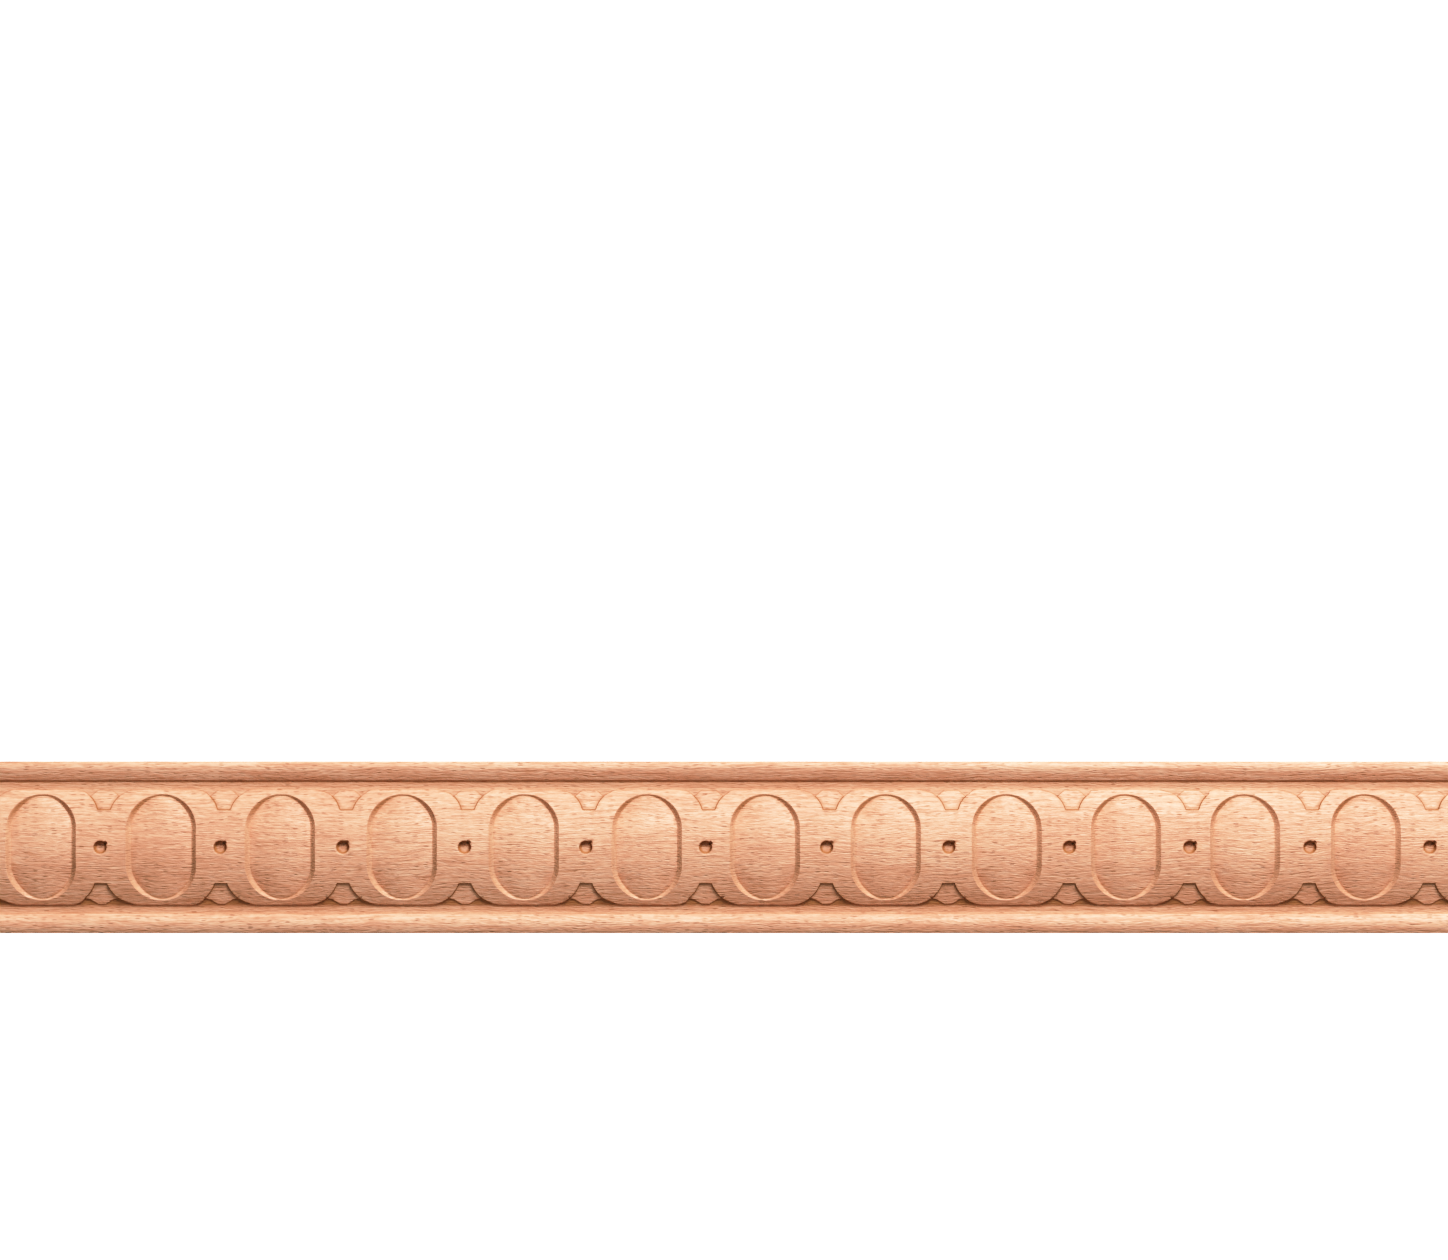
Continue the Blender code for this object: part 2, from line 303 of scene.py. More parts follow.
@dataclass(frozen=True)
class SunkOval:
    """A sunk oval with a sloping wall and a slightly cushioned floor.

    A place across the wall is a share: 0 on the rim, 1 at the floor's edge.
    """

    section: Section
    half_width: float = 10.2
    half_length: float = 15.5
    wall_at_side: float = 1.45
    wall_at_end: float = 0.55
    wall_narrows: float = 6.0
    wall_softness: float = 0.4
    wall_shares: tuple[float, ...] = (-0.09, 0.0, 0.1, 0.3, 0.5, 0.7, 0.88, 1.0, 1.14)
    side_stretch: float = 1.6
    depth_at_crown: float = 1.0
    depth_at_end: float = 0.5
    middle_rise: float = 0.28
    side_drop: float = 0.85
    corner_drop: float = 0.45
    floor_overrun: float = 1.15
    # Painted shade: the wall is darkened towards the oval's ends, and a thin dark line is painted at
    # its foot.
    end_shade: float = 0.0
    end_shade_starts: float = 5.5
    end_shade_full: float = 12.5
    rim_fade: Span = (0.0, 0.2)
    floor_fade: Span = (1.15, 0.9)
    foot_shade: float = 0.2
    foot_end_shade: float = 0.2
    foot_end: Span = (9.0, 14.0)
    foot_line: float = 0.35

    @property
    def straight(self) -> float:
        """How far the oval's straight sides reach from its middle."""
        return self.half_length - self.half_width

    def polar(self, along: float, across: float) -> tuple[float, float]:
        """Place of a point as seen from the oval's spine.

        Args:
            along: distance from the oval's middle along the strip.
            across: distance from the oval's middle across the strip.

        Returns:
            The distance from the spine, and the sine of the way to the point from its end.
        """
        beyond = max(0.0, abs(across) - self.straight)
        reach = math.hypot(along, beyond)
        return reach, beyond / reach if reach > 0.0 else 0.0

    def wall_width(self, sine: float) -> float:
        """Width of the wall seen from above, which is least at the oval's end."""
        return self.wall_at_side + (self.wall_at_end - self.wall_at_side) * sine**self.wall_narrows

    def wall_share(self, along: float, across: float) -> float:
        """Place of a point across the wall."""
        reach, sine = self.polar(along, across)
        return (self.half_width - reach) / self.wall_width(sine)

    def ring(self, share: float, spacing: float) -> Line:
        """Quarter of the ring at a place across the wall, from the oval's side to its end.

        Args:
            share: the place across the wall.
            spacing: the longest step along the ring.

        Returns:
            Points as (distance from the oval's middle line, across).
        """
        side = self.half_width - self.wall_at_side * share
        points = [(side, across) for across in
                  steps_between(0.0, self.straight, spacing * self.side_stretch)]
        for angle in steps_between(0.0, QUARTER_TURN, spacing / self.half_width)[1:]:
            radius = self.half_width - self.wall_width(math.sin(angle)) * share
            points.append((radius * math.cos(angle), self.straight + radius * math.sin(angle)))
        return points

    def floor(self, along: float, across: float) -> float:
        """Height of the floor, a pillow that falls away to its sides and corners.

        Args:
            along: distance from the oval's middle along the strip.
            across: distance from the oval's middle across the strip.

        Returns:
            The height above the back.
        """
        half_length = self.half_length - self.wall_at_end
        crown = self.section.crown - self.depth_at_crown
        end = self.section.dome(half_length) - self.depth_at_end
        radius = arc_radius(half_length, crown - end)
        arc = crown - radius + math.sqrt(radius**2 - min(across, half_length) ** 2)
        reach, sine = self.polar(along, across)
        edge_share = min(reach / (self.half_width - self.wall_width(sine)), self.floor_overrun)
        cornerwise = 2.0 * sine * math.sqrt(1.0 - sine**2)
        drop = (self.side_drop + self.corner_drop * cornerwise) * (1.0 - sine**4)
        rise = self.middle_rise * (1.0 - (across / self.half_length) ** 2)
        return arc + rise - drop * edge_share**2

    def cut(self, height: float, along: float, across: float) -> float:
        """Height of the face once the oval is cut into it.

        Args:
            height: the height before the cut.
            along: distance from the oval's middle along the strip.
            across: distance from the oval's middle across the strip.

        Returns:
            The new height.
        """
        share = self.wall_share(along, across)
        if share <= 0.0:
            return height
        straight = min(share, 1.0)
        eased = ramp(share, 0.0, 1.0)
        sunk = straight + (eased - straight) * self.wall_softness
        return height + (self.floor(along, across) - height) * sunk

    def painted_shade(self, along: float, across: float) -> float:
        """Painted shade on the wall, with a thin painted dark line at its foot.

        Args:
            along: distance from the oval's middle along the strip.
            across: distance from the oval's middle across the strip.

        Returns:
            How dark the painted shade is, from 0 to 1.
        """
        share = self.wall_share(along, across)
        from_foot = abs(share - 1.0) * self.wall_width(self.polar(along, across)[1])
        foot = self.foot_shade
        foot += (self.foot_end_shade - self.foot_shade) * ramp(across, *self.foot_end)
        wall = self.end_shade * ramp(across, self.end_shade_starts, self.end_shade_full)
        wall *= ramp(share, *self.rim_fade) * ramp(share, *self.floor_fade)
        return max(max(0.0, 1.0 - from_foot / self.foot_line) * foot, wall)


@dataclass(frozen=True)
class Dot:
    """A drilled dot: a steep wall under a slightly eased rim, and a flattish bottom.

    A place in the dot is a share of its radius.
    """

    section: Section
    radius: float = 1.93
    depth: float = 1.6
    fullness: float = 6.5
    rim_share: float = 1.14
    rim_drop: float = 0.12
    # Painted shade: the dot's bottom is darkened a little and its wall more, fading out at the rim.
    rim_fade: Span = (1.04, 0.94)
    bottom_shade: float = 0.32
    wall_shade: float = 0.65
    painted_shade_starts: float = 0.5
    painted_shade_full: float = 0.8
    ring_shares: tuple[float, ...] = (1.3, 1.14, 1.0, 0.98, 0.95, 0.91, 0.85, 0.77, 0.66, 0.45, 0.2)
    segments: int = 10

    def ring(self, share: float) -> Line:
        """Quarter of the ring at a place in the dot.

        Args:
            share: the ring's share of the dot's radius.

        Returns:
            Points as (along, across) from the dot's middle, the last just on the middle line.
        """
        radius = self.radius * share
        angles = steps_between(0.0, QUARTER_TURN, QUARTER_TURN / self.segments)
        quarter = [(radius * math.cos(angle), radius * math.sin(angle)) for angle in angles]
        return quarter[:-1] + [(0.0, radius)]

    def cut(self, height: float, along: float, across: float) -> float:
        """Height of the face once the dot is drilled.

        Args:
            height: the height before the cut.
            along: distance from the dot's middle along the strip.
            across: distance from the dot's middle across the strip.

        Returns:
            The new height.
        """
        share = math.hypot(along, across) / self.radius
        if share >= 1.0:
            near_rim = max(0.0, (self.rim_share - share) / (self.rim_share - 1.0))
            return height - self.rim_drop * near_rim
        return height - self.rim_drop - self.depth * (1.0 - share**self.fullness)

    def painted_shade(self, along: float, across: float) -> float:
        """Painted shade of the dot: its bottom a little, the foot of its wall the most.

        Args:
            along: distance from the dot's middle along the strip.
            across: distance from the dot's middle across the strip.

        Returns:
            How dark the painted shade is, from 0 to 1.
        """
        share = math.hypot(along, across) / self.radius
        wall = self.wall_shade * ramp(share, self.painted_shade_starts, self.painted_shade_full)
        return ramp(share, *self.rim_fade) * (self.bottom_shade + wall)


@dataclass(frozen=True)
class Keystone:
    """A sunk wedge at the band's edge, with the ground cut away round its pointed foot.

    The shoulder and the waist are points of the foot's edge, as shares of the way from its
    middle to the cusp and from the cusp to its tip.
    """

    section: Section
    inner: float = 10.4
    inner_half_width: float = 1.8
    cusp: float = 14.7
    sunk: float = 0.55
    tip: float = 16.45
    tip_half_width: float = 1.0
    foot: float = 17.2
    scallop_radius: float = 9.4
    scallop_along: float = 10.7
    scallop_across: float = 7.3
    scallop_end: float = 0.9995
    shoulder: Point = (0.64, 0.25)
    waist: Point = (0.44, 0.62)
    ground_rise: float = 0.3
    ground_slope: float = 0.35
    wall_run: float = 0.12
    outer_guide: float = 0.12
    inner_guide: float = 0.2
    # Painted shade: the ground is darkened, and dark lines are painted at the feet of the ground's and
    # the wedge's walls.
    ground_shade: float = 0.95
    ground_line: float = 1.0
    wedge_line: float = 1.25
    line_reach: float = 0.27
    cusp_fade: float = 0.4
    spacing: float = 0.42

    def scallop(self, start: float, end: float) -> Line:
        """Arc round the end of the next oval, right of the notch.

        Args:
            start: where the arc starts across the strip.
            end: where it ends across the strip.

        Returns:
            The arc's points.
        """
        first = math.asin((start - self.scallop_across) / self.scallop_radius)
        last = math.asin((end - self.scallop_across) / self.scallop_radius)
        points = []
        for angle in steps_between(first, last, self.spacing / self.scallop_radius):
            along = self.scallop_along - self.scallop_radius * math.cos(angle)
            points.append((along, self.scallop_across + self.scallop_radius * math.sin(angle)))
        return points

    def wedge_side(self) -> Line:
        """Inner edge and right side of the wedge, from the middle line to the cusp."""
        inner_edge = [(0.0, self.inner), (self.inner_half_width, self.inner)]
        return divided(inner_edge, self.spacing) + self.scallop(self.inner, self.cusp)[1:]

    def ground_side(self) -> Line:
        """Edge of the ground on the right.

        Returns:
            Its points, from the wedge's tip to the cusp and along the scallop.
        """
        end = self.scallop_across + self.scallop_radius * self.scallop_end
        scallop = self.scallop(self.cusp, end)
        cusp_along = scallop[0][0]
        foot = [(0.0, self.tip), (self.tip_half_width, self.tip)]
        for width_share, way_share in (self.waist, self.shoulder):
            across = self.cusp + (self.tip - self.cusp) * way_share
            foot.append((cusp_along * width_share, across))
        return divided(foot + [scallop[0]], self.spacing) + scallop[1:]

    def outline(self, side: Line) -> Line:
        """Closed outline of a cut with this right side, which runs out past the band's edge."""
        return mirrored(side[1:] + [(side[-1][0], self.foot)])

    def guide_insets(self) -> list[float]:
        """How far inside each edge the mesh needs a line: outside the wall, on it and inside it."""
        return [-self.outer_guide, 0.0, self.wall_run, self.wall_run + self.inner_guide]

    def bottom(self, across: float) -> float:
        """Height of the wedge's flat sloping bottom.

        Args:
            across: distance from the centre line.

        Returns:
            The height above the back.
        """
        middle = (self.inner + self.cusp) / 2.0
        drop = self.section.dome(self.inner) - self.section.dome(self.cusp)
        slope = drop / (self.cusp - self.inner)
        return self.section.dome(middle) - self.sunk - slope * (across - middle)

    def cut(self, height: float, wedge_depth: float, ground_depth: float, across: float) -> float:
        """Height of the face once the wedge and its ground are cut.

        Args:
            height: the height before the cut.
            wedge_depth: how far the point lies inside the wedge's outline.
            ground_depth: how far the point lies inside the ground's outline.
            across: the point's distance from the centre line.

        Returns:
            The new height.
        """
        height -= max(0.0, height - self.bottom(across)) * ramp(wedge_depth, 0.0, self.wall_run)
        ground = self.section.groove_floor + self.ground_rise
        ground += self.ground_slope * max(0.0, self.section.dome_half - across)
        return height - max(0.0, height - ground) * ramp(ground_depth, 0.0, self.wall_run)

    def painted_shade(self, wedge_depth: float, ground_depth: float, across: float) -> float:
        """Painted shade of the cut: its ground by its own shade, the feet of its walls the most.

        Args:
            wedge_depth: how far the point lies inside the wedge's outline.
            ground_depth: how far the point lies inside the ground's outline.
            across: the point's distance from the centre line.

        Returns:
            How dark the painted shade is, from 0 to about 1.
        """
        ground = self.ground_shade * ramp(ground_depth, 0.0, self.wall_run)
        ground_foot = 1.0 - abs(ground_depth - self.wall_run) / self.line_reach
        wedge_foot = 1.0 - abs(wedge_depth - self.wall_run) / self.line_reach
        before_cusp = ramp(across, self.cusp + self.cusp_fade, self.cusp)
        return max(ground, self.ground_line * ground_foot, self.wedge_line * wedge_foot * before_cusp)


@dataclass(frozen=True)
class CarvedFace:
    """Triangles of a piece of the carved face, with the painted shade of each of its points."""

    places: list[Vector]
    painted_shades: list[float]
    triangles: list[tuple[int, ...]]


@dataclass(frozen=True)
class QuarterTile:
    """A quarter of one repeat, from a dot's middle to an oval's and from the centre line out."""

    section: Section
    oval: SunkOval
    dot: Dot
    keystone: Keystone
    reach: float
    row_spacing: float = 1.5
    ring_spacing: float = 0.75
    land_spacing: float = 0.8
    land_shifts: Span = (0.75, 0.25)
    clear_share: float = 0.55
    border_share: float = 0.3
    snap: float = 1e-4

    def guides(self) -> list[Line]:
        """Lines that the mesh has to follow.

        Returns:
            The tile's border, the mouldings' rows, the rings and the walls of the notches.
        """
        outer = self.section.half_width
        corners = [(0.0, 0.0), (self.reach, 0.0), (self.reach, outer), (0.0, outer), (0.0, 0.0)]
        lines = [divided(corners, self.row_spacing)]
        for row in self.section.rows():
            lines.append(divided([(0.0, row), (self.reach, row)], self.row_spacing))
        for share in self.oval.wall_shares:
            ring = self.oval.ring(share, self.ring_spacing)
            lines.append([(self.reach - along, across) for along, across in ring])
        for share in self.dot.ring_shares:
            lines.append(self.dot.ring(share))
        for inset in self.keystone.guide_insets():
            for side in (self.keystone.wedge_side(), self.keystone.ground_side()):
                lines.append(self.in_quarter(beside(side, inset)))
        return lines

    def in_quarter(self, line: Line) -> Line:
        """The stretch of a line that lies in the quarter tile."""
        return [(along, across) for along, across in line if 0.0 <= along <= self.reach]

    def land(self, guided: Line) -> Line:
        """Points that fill the ground between the guides.

        Args:
            guided: all the points of the guides.

        Returns:
            Points of an even triangular grid that keep clear of the guides.
        """
        tree = kdtree.KDTree(len(guided))
        for index, (along, across) in enumerate(guided):
            tree.insert((along, across, 0.0), index)
        tree.balance()
        points: Line = []
        row_height = self.land_spacing * math.sqrt(3.0) / 2.0
        for row in range(int(self.section.dome_half / row_height)):
            across = (row + 0.5) * row_height
            shift = self.land_spacing * self.land_shifts[row % 2]
            for column in range(int(self.reach / self.land_spacing)):
                along = column * self.land_spacing + shift
                if along > self.reach - self.land_spacing * self.border_share:
                    continue
                if tree.find((along, across, 0.0))[2] > self.land_spacing * self.clear_share:
                    points.append((along, across))
        return points

    def plan(self) -> tuple[Line, list[tuple[int, int]]]:
        """Points and edges of the quarter tile, seen from above.

        Returns:
            The points, first those of the guides and then those that fill the ground between
            them, and the pairs of points that the guides join.
        """
        points: Line = []
        edges: list[tuple[int, int]] = []
        for line in self.guides():
            first = len(points)
            points.extend(line)
            edges.extend((first + step, first + step + 1) for step in range(len(line) - 1))
        return points + self.land(points), edges

    def face(self) -> CarvedFace:
        """Carved face of the quarter tile.

        Returns:
            Its points with their painted shade, and its triangles.
        """
        points, edges = self.plan()
        flat = [Vector(point) for point in points]
        made = geometry.delaunay_2d_cdt(flat, edges, [], 0, self.snap)
        wedge = self.keystone.outline(self.keystone.wedge_side())
        ground = self.keystone.outline(self.keystone.ground_side())
        places = []
        painted_shades = []
        for point in made[0]:
            along, across = point.x, point.y
            from_oval = self.reach - along
            wedge_depth = inside_distance(wedge, along, across)
            ground_depth = inside_distance(ground, along, across)
            height = self.section.height(across)
            if across < self.section.dome_half + self.section.dome_wall_run:
                height = self.oval.cut(height, from_oval, across)
                height = self.dot.cut(height, along, across)
                height = self.keystone.cut(height, wedge_depth, ground_depth, across)
            places.append(Vector((along, across, height)))
            # Painted shade: each point takes the darkest of the section's, the oval's, the dot's and
            # the notch's.
            painted_shade = max(self.section.painted_shade(across), self.oval.painted_shade(from_oval, across))
            painted_shade = max(painted_shade, self.dot.painted_shade(along, across))
            if across < self.section.dome_half:
                painted_shade = max(painted_shade, self.keystone.painted_shade(wedge_depth, ground_depth, across))
            painted_shades.append(painted_shade)
        return CarvedFace(places, painted_shades, [tuple(triangle) for triangle in made[2]])


@dataclass(frozen=True)
class Chip:
    """A small tear-out at the edge of a cut."""

    along: float
    across: float
    half_length: float
    half_width: float
    depth: float

    def drop(self, along: float, across: float) -> float:
        """How far the tear-out lowers a point.

        Args:
            along: the point's place from the dot's middle along the strip.
            across: the point's place across the strip.

        Returns:
            The drop, 0 outside the tear-out.
        """
        gap = ((along - self.along) / self.half_length) ** 2
        gap += ((across - self.across) / self.half_width) ** 2
        return self.depth * max(0.0, 1.0 - gap) ** 2


@dataclass(frozen=True)
class TearOuts:
    """Sizes of the tear-outs, of which each repeat draws its own."""

    dot_turn: Span = (36.0, 54.0)
    dot_reach: Span = (0.96, 1.04)
    dot_length: Span = (0.65, 0.85)
    dot_width: float = 0.65
    dot_depth: Span = (0.8, 1.4)
    notch_length: Span = (0.3, 0.9)
    notch_width: float = 0.3
    notch_depth: Span = (0.0, 0.4)
    notch_offset: float = 0.1

    def drawn(self, draw: random.Random, dot: Dot, keystone: Keystone) -> list[Chip]:
        """Tear-outs of one repeat: at the dot's upper right and at some of the notches' corners.

        Args:
            draw: the source of the random numbers.
            dot: the repeat's dot.
            keystone: the notch whose corners tear out.

        Returns:
            The tear-outs.
        """
        angle = math.radians(draw.uniform(*self.dot_turn))
        reach = dot.radius * draw.uniform(*self.dot_reach)
        length = draw.uniform(*self.dot_length)
        depth = draw.uniform(*self.dot_depth)
        along, across = reach * math.cos(angle), reach * math.sin(angle)
        chips = [Chip(along, across, length, self.dot_width, depth)]
        corner_along, corner_across = keystone.wedge_side()[-1]
        for side in Side:
            for end in End:
                length = draw.uniform(*self.notch_length)
                depth = draw.uniform(*self.notch_depth)
                along = end.value * (corner_along + self.notch_offset)
                across = side.value * (corner_across - self.notch_offset)
                chips.append(Chip(along, across, length, self.notch_width, depth))
        return chips


class Signal:
    """A node's output that can be used in sums with other outputs and numbers."""

    def __init__(self, board: "NodeBoard", socket: bpy.types.NodeSocket) -> None:
        """Keep the socket and the node tree that it is in."""
        self.board = board
        self.socket = socket

    def __add__(self, other: "Signal | float") -> "Signal":
        """Sum of two signals."""
        return self.board.math("ADD", self, other)

    __radd__ = __add__

    def __sub__(self, other: "Signal | float") -> "Signal":
        """This signal less another."""
        return self.board.math("SUBTRACT", self, other)

    def __rsub__(self, other: float) -> "Signal":
        """A number less this signal."""
        return self.board.math("SUBTRACT", other, self)

    def __mul__(self, other: "Signal | float") -> "Signal":
        """Product of two signals."""
        return self.board.math("MULTIPLY", self, other)

    __rmul__ = __mul__

    def __truediv__(self, other: "Signal | float") -> "Signal":
        """This signal divided by another."""
        return self.board.math("DIVIDE", self, other)

    def __rtruediv__(self, other: float) -> "Signal":
        """A number divided by this signal."""
        return self.board.math("DIVIDE", other, self)

    def __pow__(self, other: "Signal | float") -> "Signal":
        """This signal raised to a power."""
        return self.board.math("POWER", self, other)

    def __rpow__(self, other: float) -> "Signal":
        """A number raised to this signal."""
        return self.board.math("POWER", other, self)


class NodeBoard:
    """Node tree of one material, with the methods that add nodes to it."""

    MIX_FACTOR = 0
    MIX_FIRST = 6
    MIX_SECOND = 7
    MIX_RESULT = 2

    def __init__(self, name: str) -> None:
        """Make an empty material with a Principled shader.

        Args:
            name: the material's name.
        """
        self.material = bpy.data.materials.new(name)
        self.material.use_nodes = True
        self.tree = self.material.node_tree
        self.shader = self.tree.nodes["Principled BSDF"]

    def feed(self, socket: bpy.types.NodeSocket, value: object) -> None:
        """Link a signal to a socket, or set the socket to a plain value.

        Args:
            socket: the input socket.
            value: the signal or the plain value.
        """
        if isinstance(value, Signal):
            self.tree.links.new(value.socket, socket)
        else:
            socket.default_value = value

    def node(self, kind: str, settings: dict[str, object], sockets: dict[object, object],
             output: object = 0) -> Signal:
        """Add a node.

        Args:
            kind: the node's type.
            settings: its own settings, and the stops of its ramp as (place, colour) pairs.
            sockets: the values or signals of its inputs, by name or number.
            output: the output wanted, by name or number.

        Returns:
            The output as a signal.
        """
        made = self.tree.nodes.new(kind)
        for name, value in settings.items():
            if name == "stops":
                self.set_stops(made.color_ramp, value)
            else:
                setattr(made, name, value)
        for name, value in sockets.items():
            self.feed(made.inputs[name], value)
        return Signal(self, made.outputs[output])

    def set_stops(self, color_ramp: bpy.types.ColorRamp, stops: list[tuple[float, Colour]]) -> None:
        """Give a ramp its stops.

        Args:
            color_ramp: the ramp.
            stops: at least two stops, each as its place and its colour.
        """
        while len(color_ramp.elements) < len(stops):
            color_ramp.elements.new(1.0)
        for element, (place, colour) in zip(color_ramp.elements, stops):
            element.position = place
            element.color = colour

    def math(self, operation: str, *values: object) -> Signal:
        """Work out a sum on numbers and signals."""
        return self.node("ShaderNodeMath", {"operation": operation}, dict(enumerate(values)))

    def vector(self, operation: str, *values: object) -> Signal:
        """Work out a sum on vectors."""
        return self.node("ShaderNodeVectorMath", {"operation": operation}, dict(enumerate(values)))

    def part(self, vector: Signal, axis: str) -> Signal:
        """One part of a vector, by the name of its axis."""
        return self.node("ShaderNodeSeparateXYZ", {}, {"Vector": vector}, axis)

    def clamp(self, signal: Signal) -> Signal:
        """Hold a signal between 0 and 1."""
        return self.node("ShaderNodeClamp", {}, {"Value": signal})

    def between(self, signal: Signal, start: float, end: float) -> Signal:
        """Step smoothly from one value of a signal to another.

        Args:
            signal: the signal.
            start: where the result is 0.
            end: where the result is 1.

        Returns:
            The result, from 0 to 1.
        """
        settings = {"interpolation_type": "SMOOTHSTEP"}
        sockets = {"Value": signal, "From Min": start, "From Max": end}
        return self.node("ShaderNodeMapRange", settings, sockets)

    def mix(self, factor: Signal, first: object, second: object) -> Signal:
        """Lay one colour over another.

        Args:
            factor: how much of the second colour shows.
            first: the colour below.
            second: the colour above.

        Returns:
            The mixed colour.
        """
        settings = {"data_type": "RGBA", "blend_type": "MIX", "clamp_factor": True}
        sockets = {self.MIX_FACTOR: factor, self.MIX_FIRST: first, self.MIX_SECOND: second}
        return self.node("ShaderNodeMix", settings, sockets, self.MIX_RESULT)

    def grain(self, place: Signal, size: Size, detail: float = 2.0,
              roughness: float = 0.5) -> Signal:
        """Noise around 0.5.

        Args:
            place: where the noise is read.
            size: the size of its lumps along each axis, in the unit of the place.
            detail: how many finer layers it has.
            roughness: how strong they are.

        Returns:
            The noise.
        """
        scaled = self.vector("DIVIDE", place, size)
        sockets = {"Vector": scaled, "Scale": 1.0, "Detail": detail, "Roughness": roughness}
        return self.node("ShaderNodeTexNoise", {}, sockets)

    def drifted(self, place: Signal, size: Size, amount: float) -> Signal:
        """A place that wanders across the grain.

        Args:
            place: the place.
            size: the size of the waves along each axis.
            amount: how far the place wanders.

        Returns:
            The new place.
        """
        sockets = {"Vector": self.vector("DIVIDE", place, size), "Scale": 1.0, "Detail": 2.0}
        wander = self.node("ShaderNodeTexNoise", {}, sockets, "Color")
        wander = self.vector("SUBTRACT", wander, (0.5, 0.5, 0.5))
        return self.vector("ADD", place, self.vector("MULTIPLY", wander, (0.0, amount, amount)))


@dataclass(frozen=True)
class WoodMarks:
    """The marks of the wood, and the painted shade in the cuts, each as a signal over the surface."""

    patches: Signal
    streaks: Signal
    ripple: Signal
    rings: Signal
    fibres: Signal
    hairs: Signal
    flecks: Signal
    end_grain: Signal
    bead: Signal
    painted_shade: Signal


@dataclass(frozen=True)
class BeechFinish:
    """Planed, sanded beech without varnish: rays, rings and fibres, and painted shade in the cuts.

    Each size is that of a mark along, across and down, in millimetres. Each tone is a mark's
    share in the wood's light and dark, and each cover is how much of its own colour shows.
    """

    pale: Colour = (0.81, 0.447, 0.302, 1.0)
    middle: Colour = (0.72, 0.338, 0.209, 1.0)
    rosy: Colour = (0.60, 0.245, 0.139, 1.0)
    line: Colour = (0.45, 0.172, 0.076, 1.0)
    fleck: Colour = (0.34, 0.125, 0.05, 1.0)
    end_colour: Colour = (0.57, 0.282, 0.155, 1.0)
    # Dark brown of the painted shade in the hollows and at the feet of the walls.
    painted_shade: Colour = (0.32, 0.112, 0.022, 1.0)
    wide_wave: Size = (38.0, 16.0, 18.0)
    wide_wander: float = 4.0
    small_wave: Size = (7.0, 2.6, 4.0)
    small_wander: float = 0.9
    ripple_size: Size = (2.3, 0.4, 1.4)
    fibre_size: Size = (3.2, 0.16, 0.3)
    streak_size: Size = (22.0, 0.8, 1.6)
    hair_size: Size = (11.0, 0.34, 0.8)
    hair_span: Span = (0.53, 0.70)
    patch_size: Size = (60.0, 22.0, 14.0)
    ray_size: Size = (2.7, 0.42, 5.0)
    ray_chance: Span = (0.35, 1.0)
    ray_edge: Span = (0.42, 0.16)
    heart_across: float = 14.0
    heart_below: float = -85.0
    ring_spacing: float = 2.7
    ring_wave: Size = (400.0, 9.0, 5.0)
    ring_wander: float = 2.4
    ring_darkens: Span = (0.25, 0.93)
    ring_ends: Span = (1.0, 0.95)
    end_facing: Span = (0.25, 0.85)
    bead_span: Span = (19.2, 19.5)
    patch_tone: float = 0.5
    streak_tone: float = 0.7
    bead_tone: float = 0.4
    bead_level: float = 0.6
    ripple_tone: float = 0.75
    ring_tone: float = 0.3
    tone_span: Span = (0.6, 1.35)
    fibre_span: Span = (0.5, 0.8)
    fibre_cover: float = 0.4
    hair_cover: float = 0.52
    fleck_cover: float = 0.8
    # How far the colour turns to the painted shade's brown where that shade is full.
    end_cover: float = 0.6
    painted_shade_cover: float = 0.92
    plain_roughness: float = 0.46
    fibre_roughness: float = 0.16
    end_roughness: float = 0.25
    fleck_polish: float = 0.05
    crease_roughness: float = 0.2
    ripple_height: float = 1.2
    fibre_height: float = 0.45
    fleck_depth: float = 0.6
    hair_depth: float = 0.35
    bump_strength: float = 0.9
    bump_distance: float = 0.17
    specular: float = 0.65

    def build(self) -> bpy.types.Material:
        """Make the beech material.

        Returns:
            The material, whose colour, roughness and bump vary over the wood.
        """
        board = NodeBoard("beech")
        marks = self.marks(board)
        height = marks.ripple * self.ripple_height + marks.fibres * self.fibre_height
        height = height - marks.flecks * self.fleck_depth - marks.hairs * self.hair_depth
        bump = {"Height": height, "Strength": self.bump_strength, "Distance": self.bump_distance * MM}
        board.feed(board.shader.inputs["Base Color"], self.colour(board, marks))
        board.feed(board.shader.inputs["Roughness"], self.roughness(marks))
        board.feed(board.shader.inputs["Normal"], board.node("ShaderNodeBump", {}, bump))
        board.shader.inputs["Specular IOR Level"].default_value = self.specular
        return board.material

    def marks(self, board: NodeBoard) -> WoodMarks:
        """Lay out the marks of the wood.

        Args:
            board: the material's nodes.

        Returns:
            Each mark as a signal.
        """
        spot = board.node("ShaderNodeTexCoord", {}, {}, "Object")
        spot = board.vector("DIVIDE", spot, (MM, MM, MM))
        place = board.drifted(spot, self.wide_wave, self.wide_wander)
        place = board.drifted(place, self.small_wave, self.small_wander)
        end_grain = self.end_grain_share(board)
        return WoodMarks(
            patches=board.grain(place, self.patch_size, 2.0),
            streaks=board.grain(place, self.streak_size, 3.0, 0.55),
            ripple=board.grain(place, self.ripple_size, 1.5),
            rings=self.rings(board, place) * end_grain,
            fibres=board.grain(place, self.fibre_size, 3.0, 0.6),
            hairs=board.between(board.grain(place, self.hair_size, 1.0), *self.hair_span),
            flecks=self.flecks(board, place),
            end_grain=end_grain,
            bead=self.bead_share(board, spot),
            # Painted shade, read from the mesh's layer.
            painted_shade=board.node("ShaderNodeAttribute", {"attribute_name": "painted_shade"}, {}, "Fac"))

